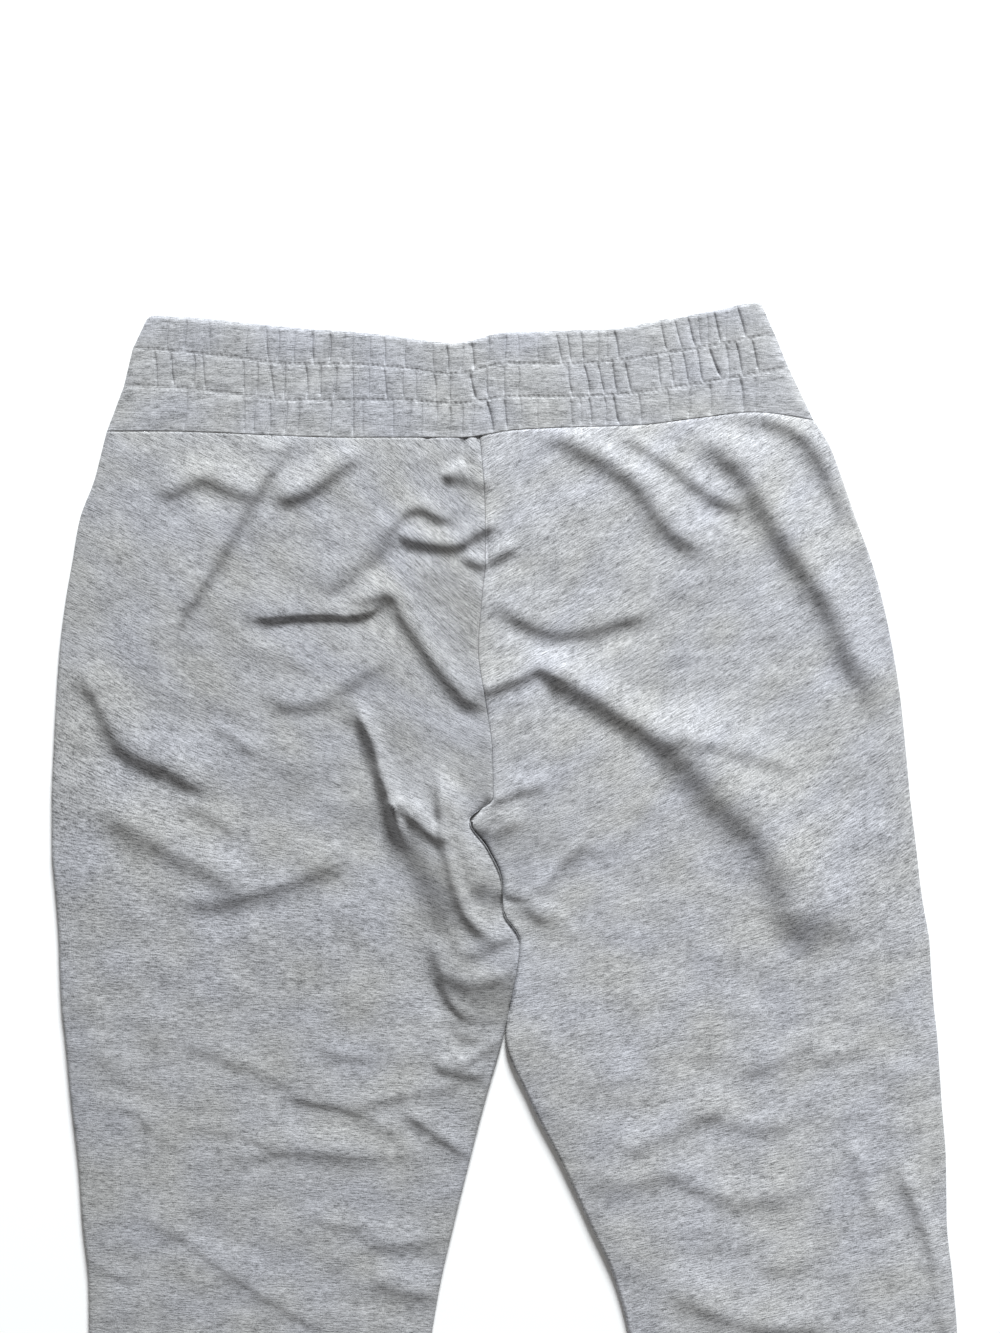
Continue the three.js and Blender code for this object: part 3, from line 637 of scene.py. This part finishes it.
def wall(name, outer, inner, weave_outer, weave_inner, material, node):
    """A closed wall of cloth between two grids of points, with its knit's own coordinates."""
    points, weaves = [], []
    top, under = numbered(points, outer), numbered(points, inner)
    numbered(weaves, weave_outer)
    numbered(weaves, weave_inner)
    places = (np.vstack(points) * MM).tolist()
    faces = quads(top, True) + quads(under, False)
    for one, two in ((under[0], top[0]), (top[-1], under[-1]),
                     (top[:, 0], under[:, 0]), (under[:, -1], top[:, -1])):
        faces += strip(places, one, two)
    mesh = bpy.data.meshes.new(name)
    mesh.from_pydata(places, [], faces)
    mesh.shade_smooth()
    flat = np.vstack(weaves)
    knit = mesh.attributes.new("knit", "FLOAT_VECTOR", "POINT")
    knit.data.foreach_set("vector", np.column_stack([flat, np.zeros(len(flat))]).ravel())
    mesh.materials.append(material)
    mesh.update()
    piece = bpy.data.objects.new(name, mesh)
    bpy.context.scene.collection.objects.link(piece)
    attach(piece, "root")
    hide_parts(node)
    return piece


def upper_layer(rows, shares, skin, floor, rounding, height, inner_rows, inner_columns):
    """Outer and inner points of a layer that lies on another. Its sides fold round to the
    underside where a row isn't joined, and stop level, in a groove, at a seam."""
    left, right = rows["left"][:, None], rows["right"][:, None]
    joined_left, joined_right = rows["joined_left"][:, None], rows["joined_right"][:, None]

    def level(inset, columns, row_picks, inside):
        reach = rounding - inset
        low, high = left[row_picks] + inset, right[row_picks] - inset
        x = columns(low, high, reach)
        share = (x - left[row_picks]) / (right[row_picks] - left[row_picks])
        down = rows["down_at"](share, x, row_picks)
        full = floor + height(x, down, share, inside, row_picks)
        least = floor if inside else floor + skin
        folded = floor if inside else EDGE_MIDDLE
        z = full
        for distance, joined in ((x - low, joined_left), (high - x, joined_right)):
            edge = mix(folded, np.maximum(full - SEAM_GROOVE, least), joined[row_picks])
            over = mix(reach, SEAM_ROUND, joined[row_picks])
            z = z - (full - edge) * (1 - quarter_round(distance / over))
        return x, down, z

    x, down, z = level(0, shares, slice(None), False)
    inner_x, inner_down, inner_z = level(skin, inner_columns, inner_rows, True)
    turned, inner_turned = [], []
    for end, joined, inward in ((0, joined_left, 1), (-1, joined_right, -1)):
        level_in = np.interp(np.arange(len(x)), np.arange(len(x))[inner_rows], inner_z[:, end])
        edge_x, edge_z, edge_down = x[:, end], z[:, end], down[:, end]
        tie = joined[:, 0]
        lip_x = edge_x + inward * mix(TUCK, 0, tie)
        lip_z = mix(EDGE_LIFT, level_in + SEAM_LIP, tie)
        loop = []
        for share in TURN_STEPS:
            round_x = mix(edge_x, lip_x, 1 - math.cos(share * math.pi / 2))
            round_z = mix(edge_z, lip_z, math.sin(share * math.pi / 2))
            loop.append(place(round_x, edge_down, round_z))
        loop.append(place(lip_x, edge_down, lip_z))
        turned.append(loop)
        back_x = edge_x + inward * mix(TUCK + LIP_WALL, SEAM_LIP, tie)
        back_z = mix(EDGE_LIFT, level_in, tie)
        inner_turned.append(place(back_x, edge_down, back_z)[inner_rows])
    top = place(x, down, z)
    outer = np.concatenate([np.stack(turned[0][::-1], 1), top, np.stack(turned[1], 1)], axis=1)
    under = place(inner_x, inner_down, inner_z)
    inner = np.concatenate([inner_turned[0][:, None], under, inner_turned[1][:, None]], axis=1)
    return outer, inner


def spread(count, near=(0, 0.05, 0.13, 0.26, 0.42, 0.64, 0.9)):
    """Positions across a piece: a few close to each side, then evenly spaced."""
    def columns(low, high, reach):
        close = np.array(near) * reach
        ends = 1.25 * reach
        even = mix(low + ends, high - ends, np.linspace(0, 1, count)[None, :])
        return np.concatenate([low + close, even, (high - close)[:, ::-1]], axis=1)
    return columns


def eased_slope(down, below, more, start, end):
    """The slope of the knit's rows, which is more at the hips and eases between two heights."""
    return below + more * (1 - smooth(down, start, end))


def knit_slant(x, down):
    """How far the knit's rows have run down the garment at x, as they slope across the hips."""
    left = eased_slope(down, *LEFT_SLOPE) * (x - LEFT_MIDDLE)
    bend = INNER_REACH * np.tanh((x - INNER_MIDDLE) / INNER_REACH)
    left = left + eased_slope(down, *INNER_SLOPE) * bend
    right = -eased_slope(down, *RIGHT_SLOPE) * (x - RIGHT_MIDDLE)
    return np.where(x < RIGHT_INNER(down) - 0.1, left, right)


def weave(points):
    x = points[..., 0]
    down = LENGTH / 2 - points[..., 1]
    return np.stack([x, down - knit_slant(x, down)], axis=-1)


def panel_rows(left_edge, right_edge, joined_left, joined_right):
    first = BAND_LINES[0][3]
    start_left = float(waist_seam(left_edge(first))) + DRAWN_GAP
    start_right = float(waist_seam(right_edge(first))) + DRAWN_GAP
    full = HEM_DOWN - float(waist_seam(LEFT_INNER(first))) - DRAWN_GAP
    steps = np.concatenate([
        np.arange(0, LOW_FROM, PANEL_STEP),
        np.linspace(LOW_FROM, full, int((full - LOW_FROM) / LOW_STEP)),
    ])
    down_left = mix(start_left, HEM_DOWN, steps / full)
    down_right = mix(start_right, HEM_DOWN, steps / full)
    bow = np.exp(-steps / BOW_REACH)[:, None]

    def down_at(share, x, picks):
        off_seam = waist_seam(x) + DRAWN_GAP - mix(start_left, start_right, share)
        straight = mix(down_left[picks][:, None], down_right[picks][:, None], share)
        return straight + bow[picks] * off_seam

    return {
        "left": left_edge(down_left),
        "right": right_edge(down_right),
        "joined_left": joined_left(down_left),
        "joined_right": joined_right(down_right),
        "down_at": down_at,
    }


def hem_gathers(share, down):
    reach = np.clip(1 - (HEM_DOWN - down) / HEM_GATHER_REACH, 0, 1)
    return HEM_GATHER_HEIGHT * reach * np.sin(math.pi * HEM_GATHERS * share) ** 2


def back_height(x, down, share, inside, picks):
    here = loft(x, down)
    total = here + hem_gathers(share, down)
    if inside:
        return total
    slope_down = np.gradient(here, axis=0) / np.gradient(down, axis=0)
    slope_x = np.gradient(here, axis=1) / np.maximum(np.gradient(x, axis=1), 1e-3)
    slopes = [np.clip(slope, -STEEPEST, STEEPEST) for slope in (slope_down, slope_x)]
    return total + FLEECE * np.sqrt(1 + slopes[0] ** 2 + slopes[1] ** 2)


def every(count, step):
    """Each step-th number below the count, and always the last."""
    return np.unique(np.append(np.arange(0, count, step), count - 1))


def back_panel(name, rows, material):
    width = float(np.max(rows["right"] - rows["left"]))
    picks = every(len(rows["left"]), COARSE)
    outer, inner = upper_layer(
        rows, spread(int(width / PANEL_STEP)), FLEECE, BACK_FLOOR, EDGE_ROUND, back_height,
        picks, spread(int(width / PANEL_STEP / COARSE)),
    )
    return wall(f"{name}_cloth", outer, inner, weave(outer), weave(inner), material, name)


def lower_layer(name, rows, picks, count, thickness, material):
    def inset(joined):
        return mix(SEAM_GAP / 2, LOWER_INSET, np.clip(2 - 2 * joined, 0, 1))

    low = rows["left"][picks] + inset(rows["joined_left"][picks])
    high = rows["right"][picks] - inset(rows["joined_right"][picks])
    x = mix(low[:, None], high[:, None], np.linspace(0, 1, count)[None, :])
    left, right = rows["left"][picks][:, None], rows["right"][picks][:, None]
    down = rows["down_at"]((x - left) / (right - left), x, picks)
    outer = place(x, down, np.full_like(x, thickness))
    inner = place(x, down, np.zeros_like(x))
    return wall(f"{name}_cloth", outer, inner, weave(outer), weave(inner), material, name)


def band_rows(counts):
    """Rows of the waistband, with its channel and the part of the way through that."""
    channel = np.repeat(np.arange(3), counts)
    step = np.concatenate([np.arange(count) / count for count in counts])
    channel, step = np.append(channel, 2), np.append(step, 1.0)
    ends = np.array(BAND_ENDS, float)

    def down_at(share, x, picks):
        picked, part = channel[picks][:, None], step[picks][:, None]
        lines = np.stack([curve(share) for curve in BAND_CURVES])
        here = np.take_along_axis(lines, np.broadcast_to(picked, share.shape)[None], 0)[0]
        after = np.take_along_axis(lines, np.broadcast_to(picked + 1, share.shape)[None], 0)[0]
        inwards = np.minimum(x - x[:, :1], x[:, -1:] - x)
        corner = CORNER_ROUND * (1 - quarter_round(inwards / CORNER_ROUND))
        return mix(here, after, part) + np.where(picked == 0, corner * (1 - part), 0)

    return {
        "channel": channel,
        "step": step,
        "left": mix(ends[channel, 0], ends[channel + 1, 0], step),
        "right": mix(ends[channel, 1], ends[channel + 1, 1], step),
        "joined_left": np.zeros(len(channel)),
        "joined_right": np.zeros(len(channel)),
        "down_at": down_at,
    }


def band_creases(x, channel, step):
    """Gathers of the elastic: thin creases that begin afresh at every stitch line."""
    dice = np.random.default_rng(11)
    total = np.zeros_like(x)
    for band, lines in enumerate(GATHERS):
        picked = channel[:, 0] == band
        here, part = x[picked], step[picked]
        depth = np.zeros_like(here)
        for top, foot, strength in lines:
            top_x, foot_x = [(u - GRID_AXIS) * GRID for u in (top, foot)]
            bow = dice.uniform(-GATHER_BOW, GATHER_BOW) * np.sin(math.pi * part)
            off = here - mix(top_x, foot_x, part) - bow
            depth += (GATHER_LEAST + GATHER_DEPTH * strength) * np.exp(-np.abs(off) / GATHER_REACH)
            depth += GATHER_HOLLOW * strength * np.exp(-(off / GATHER_HOLLOW_REACH) ** 2)
        for _ in range(FINE_CREASES):
            centre, lean = dice.uniform(*FINE_CREASE_SPAN), dice.normal(0, FINE_CREASE_LEAN)
            fine, reach = dice.uniform(*FINE_CREASE_DEPTH), dice.uniform(*FINE_CREASE_REACH)
            depth += fine * np.exp(-((here - centre - lean * (part - 0.5)) / reach) ** 2)
        total[picked] = depth
    return total


def band_height_for(rows):
    def band_height(x, down, share, inside, picks):
        if inside:
            return np.zeros_like(x)
        channel, step = rows["channel"][picks][:, None], rows["step"][picks][:, None]
        from_line = np.minimum(step, 1 - step) * CHANNEL_HEIGHT
        stitch = 1 - STITCH_DIP * (1 - np.cos(2 * math.pi * x / STITCH_LENGTH))
        arch = 1 - stitch * np.exp(-from_line / STITCH_WIDTH)
        foot = (channel == 2) & (step > 0.5)
        arch = np.where(foot, 1 - FOOT_GROOVE * np.exp(-from_line / STITCH_WIDTH), arch)
        height = BAND_LEAST + PUFF * arch + SWELL * np.sin(math.pi * step)
        gathered = smooth(from_line, -1, GATHER_START)
        height = height - np.minimum(band_creases(x, channel, step), MOST_CREASE) * gathered
        top = (channel == 0) & (step < TOP_ROUND)
        rounded = mix(TOP_EDGE, height, np.sqrt(np.clip(step / TOP_ROUND, 0, 1)))
        return np.where(top, rounded, height)
    return band_height


def waistband(material):
    rows = band_rows([BAND_ROWS] * 3)
    picks = every(len(rows["left"]), BAND_ROWS // CHANNEL_INNER_ROWS)
    outer, inner = upper_layer(
        rows, spread(BAND_COLUMNS), BAND_LEAST, BAND_FLOOR, BAND_ROUND, band_height_for(rows),
        picks, spread(INNER_COLUMNS),
    )
    back = wall("waistband_back_cloth", outer, inner, outer[..., :2] * (1, -1),
                inner[..., :2] * (1, -1), material, "waistband_back")
    low = band_rows([CHANNEL_INNER_ROWS] * 3)
    low["step"] = np.where((low["channel"] == 2) & (low["step"] == 1), FRONT_BAND_END, low["step"])
    part = low["step"]
    ends = np.array(BAND_ENDS, float)
    low["left"] = mix(ends[low["channel"], 0], ends[low["channel"] + 1, 0], part)
    low["right"] = mix(ends[low["channel"], 1], ends[low["channel"] + 1, 1], part)
    plain = low["down_at"]

    def down_at(share, x, picks):
        top = np.where((low["channel"][picks] == 0) & (low["step"][picks] == 0), TOP_EDGE, 0)
        return plain(share, x, picks) + top[:, None]

    low["down_at"] = down_at
    front = lower_layer("waistband_front", low, slice(None), INNER_COLUMNS, BAND_WALL,
                        material)
    return back, front


def cuff_rows(left_edge, right_edge, count):
    step = np.linspace(0, 1, count)
    down = mix(HEM_DOWN + SEAM_GAP, LENGTH, step)
    drawn = CUFF_WAIST / 2 * np.sin(math.pi * step / 2)
    return {
        "left": left_edge(HEM_DOWN) + drawn,
        "right": right_edge(HEM_DOWN) - drawn,
        "joined_left": np.zeros(count),
        "joined_right": np.zeros(count),
        "down_at": lambda share, x, picks: np.broadcast_to(down[picks][:, None], x.shape),
    }


def rib_height(x, down, share, inside, picks):
    if inside:
        return np.zeros_like(x)
    return RIB_LEAST + RIB_HEIGHT * (0.5 + 0.5 * np.cos(2 * math.pi * RIB_COUNT * share))


def cuff(side, rows, material):
    picks = every(CUFF_ROWS, 4)
    outer, inner = upper_layer(
        rows, spread(CUFF_COLUMNS), RIB_LEAST, CUFF_FLOOR, BAND_ROUND, rib_height,
        picks, spread(CUFF_INNER_COLUMNS),
    )
    upper = wall(f"cuff_{side}_upper_cloth", outer, inner, weave(outer), weave(inner),
                 material, f"cuff_{side}_upper")
    lower = lower_layer(f"cuff_{side}_lower", rows, picks, CUFF_INNER_COLUMNS, RIB_WALL,
                        material)
    return upper, lower


class Nodes:
    """A short way to build a material's nodes."""

    def __init__(self, name):
        self.material = bpy.data.materials.new(name)
        self.material.use_nodes = True
        self.tree = self.material.node_tree
        self.shader = self.tree.nodes["Principled BSDF"]

    def add(self, kind, inputs, **settings):
        made = self.tree.nodes.new(kind)
        for key, value in settings.items():
            setattr(made, key, value)
        for key, value in inputs.items():
            if isinstance(value, bpy.types.NodeSocket):
                self.tree.links.new(value, made.inputs[key])
            else:
                made.inputs[key].default_value = value
        return made

    def math(self, kind, *values):
        return self.add("ShaderNodeMath", dict(enumerate(values)), operation=kind).outputs[0]

    def noise(self, vector, detail, rough):
        made = self.add("ShaderNodeTexNoise", {
            "Vector": vector, "Scale": 1.0, "Detail": detail, "Roughness": rough,
        })
        return made.outputs["Fac"]

    def stretched(self, knit, long, thick, shift):
        return self.add("ShaderNodeMapping", {
            "Vector": knit, "Location": (shift, shift, 0), "Scale": (1 / long, 1 / thick, 1),
        }).outputs[0]


# Marks of the heather: length along the knit, thickness, shift, detail, roughness, weight
MARKS = {
    "streak": (5.2, 0.68, 0, 3, 0.65, 0.62),
    "fine": (1.6, 0.42, 40, 2, 0.6, 0.35),
    "speck": (0.6, 0.6, 70, 1, 0.5, 0.3),
    "clump": (15, 2.8, 110, 1, 0.5, 0.4),
    "broad": (26, 9, 90, 2, 0.5, 0.35),
    "hue": (45, 38, 130, 1, 0.5, 3),
}
WARM = (1, 0.995, 0.976)
COOL = (0.978, 0.987, 1.04)


def heather(name, dark, light, contrast, mottle=1, lean=0):
    """Heather knit: pale and dark fibres drawn out along the knit, under a soft nap. It can be more
    mottled, and get paler to the right by the lean for each millimetre, which is painted light,
    brighter towards the right."""
    nodes = Nodes(name)
    knit = nodes.add("ShaderNodeAttribute", {}, attribute_name="knit").outputs["Vector"]

    def mark(name):
        long, thick, shift, detail, rough, weight = MARKS[name]
        noise = nodes.noise(nodes.stretched(knit, long, thick, shift), detail, rough)
        return nodes.math("MULTIPLY", nodes.math("SUBTRACT", noise, 0.5), weight)

    finest = nodes.math("ADD", mark("fine"), mark("speck"))
    fibres = nodes.math("ADD", mark("streak"), finest)
    toned = nodes.math("MULTIPLY_ADD", fibres, contrast, 0.5)
    patches = nodes.math("ADD", mark("broad"), mark("clump"))
    toned = nodes.math("MULTIPLY_ADD", patches, mottle, toned)
    # Painted light: the colour gets paler to the right by the lean, standing in for light that
    # falls off to the left
    across = nodes.add("ShaderNodeSeparateXYZ", {"Vector": knit}).outputs["X"]
    toned = nodes.math("MULTIPLY_ADD", across, lean, toned)
    colour = nodes.add("ShaderNodeMix", {
        "Factor": toned, "A": (*dark, 1), "B": (*light, 1),
    }, data_type="RGBA")
    tint = nodes.add("ShaderNodeMix", {
        "Factor": nodes.math("ADD", mark("hue"), 0.5), "A": (*WARM, 1), "B": (*COOL, 1),
    }, data_type="RGBA")
    both = nodes.add("ShaderNodeMix", {
        "Factor": 1.0, "A": colour.outputs["Result"], "B": tint.outputs["Result"],
    }, data_type="RGBA", blend_type="MULTIPLY")
    bump = nodes.add("ShaderNodeBump", {"Strength": 0.5, "Distance": 0.0003, "Height": fibres})
    shader = nodes.shader
    nodes.tree.links.new(both.outputs["Result"], shader.inputs["Base Color"])
    nodes.tree.links.new(bump.outputs[0], shader.inputs["Normal"])
    shader.inputs["Roughness"].default_value = 0.95
    shader.inputs["Specular IOR Level"].default_value = 0.1
    shader.inputs["Sheen Weight"].default_value = 0.12
    shader.inputs["Sheen Roughness"].default_value = 0.5
    return nodes.material


# The left half's fleece is painted darker than the right, as painted shade for light that falls off
# towards the left
fleece = {
    "left": heather("heather_fleece_left_painted_shade", (0.112, 0.113, 0.115), (0.558, 0.562, 0.571), 3.5),
    "right": heather("heather_fleece_right_painted_light", (0.126, 0.127, 0.13), (0.663, 0.668, 0.681), 3.5),
}
# The band's colour is painted paler to the right, a painted light gradient
band_cloth = heather("heather_band_painted_light", (0.13, 0.132, 0.134), (0.63, 0.636, 0.652), 3, 1.3, 0.00028)
rib_cloth = heather("heather_rib", (0.11, 0.111, 0.113), (0.51, 0.515, 0.525), 3.2)


def folded(down):
    return np.zeros_like(down)


HALF_GAP = DRAWN_GAP / 2
sides = {
    "left": (lambda down: LEFT_OUTER(down) + HALF_GAP, lambda down: LEFT_INNER(down) - HALF_GAP,
             folded, touching_above_split),
    "right": (lambda down: RIGHT_INNER(down) + HALF_GAP, lambda down: RIGHT_OUTER(down) - HALF_GAP,
              touching_above_split, folded),
}
for side, (left_edge, right_edge, joined_left, joined_right) in sides.items():
    rows = panel_rows(left_edge, right_edge, joined_left, joined_right)
    back = back_panel(f"back_{side}", rows, fleece[side])
    picks = every(len(rows["left"]), COARSE)
    front = lower_layer(f"front_{side}", rows, picks, INNER_COLUMNS, FLEECE,
                        fleece[side])
    upper, lower = cuff(side, cuff_rows(left_edge, right_edge, CUFF_ROWS), rib_cloth)
band_back, band_front = waistband(band_cloth)

# Plain pale floor and soft light from the waist's side
bpy.ops.mesh.primitive_plane_add(size=60, location=(0, 0, 0))
floor = bpy.context.object
floor.name = "floor"
paint = Nodes("floor_paint")
grain = paint.add("ShaderNodeTexNoise", {"Scale": 3.0})
pale = paint.add("ShaderNodeMix", {
    "Factor": grain.outputs["Fac"], "A": (0.93, 0.93, 0.93, 1), "B": (0.95, 0.95, 0.95, 1),
}, data_type="RGBA")
paint.tree.links.new(pale.outputs["Result"], paint.shader.inputs["Base Color"])
paint.shader.inputs["Roughness"].default_value = 1
paint.shader.inputs["Specular IOR Level"].default_value = 0
floor.data.materials.append(paint.material)

scene = bpy.context.scene
world = bpy.data.worlds.new("studio")
world.use_nodes = True
world.node_tree.nodes["Background"].inputs["Color"].default_value = (1, 0.975, 0.94, 1)
world.node_tree.nodes["Background"].inputs["Strength"].default_value = 0.23
scene.world = world


def area_light(name, location, aim, size, power, colour):
    data = bpy.data.lights.new(name, "AREA")
    data.shape = "DISK"
    data.size = size
    data.energy = power
    data.color = colour
    lamp = bpy.data.objects.new(name, data)
    scene.collection.objects.link(lamp)
    lamp.location = location
    way = np.array(aim) - np.array(location)
    lamp.rotation_euler = (math.atan2(math.hypot(way[0], way[1]), -way[2]), 0,
                           math.atan2(way[0], -way[1]) + math.pi)
    return lamp


area_light("window", location=(0.95, 6.2, 3.35), aim=(0, 0.1, 0), size=2.4, power=990,
           colour=(0.95, 0.98, 1))

# The camera looks straight down, as the photo does, at the part that the photo shows
SENSOR = 36
LENS = 85
FRAME_HEIGHT = 0.7665
FRAME_MIDDLE = (-0.0026, 0.28175)
data = bpy.data.cameras.new("camera")
data.sensor_width = SENSOR
data.lens = LENS
data.clip_start = 0.01
camera = bpy.data.objects.new("camera", data)
scene.collection.objects.link(camera)
camera.location = (*FRAME_MIDDLE, FRAME_HEIGHT * LENS / SENSOR)
camera.rotation_euler = (0, 0, 0)
scene.camera = camera
scene.view_settings.view_transform = "Standard"
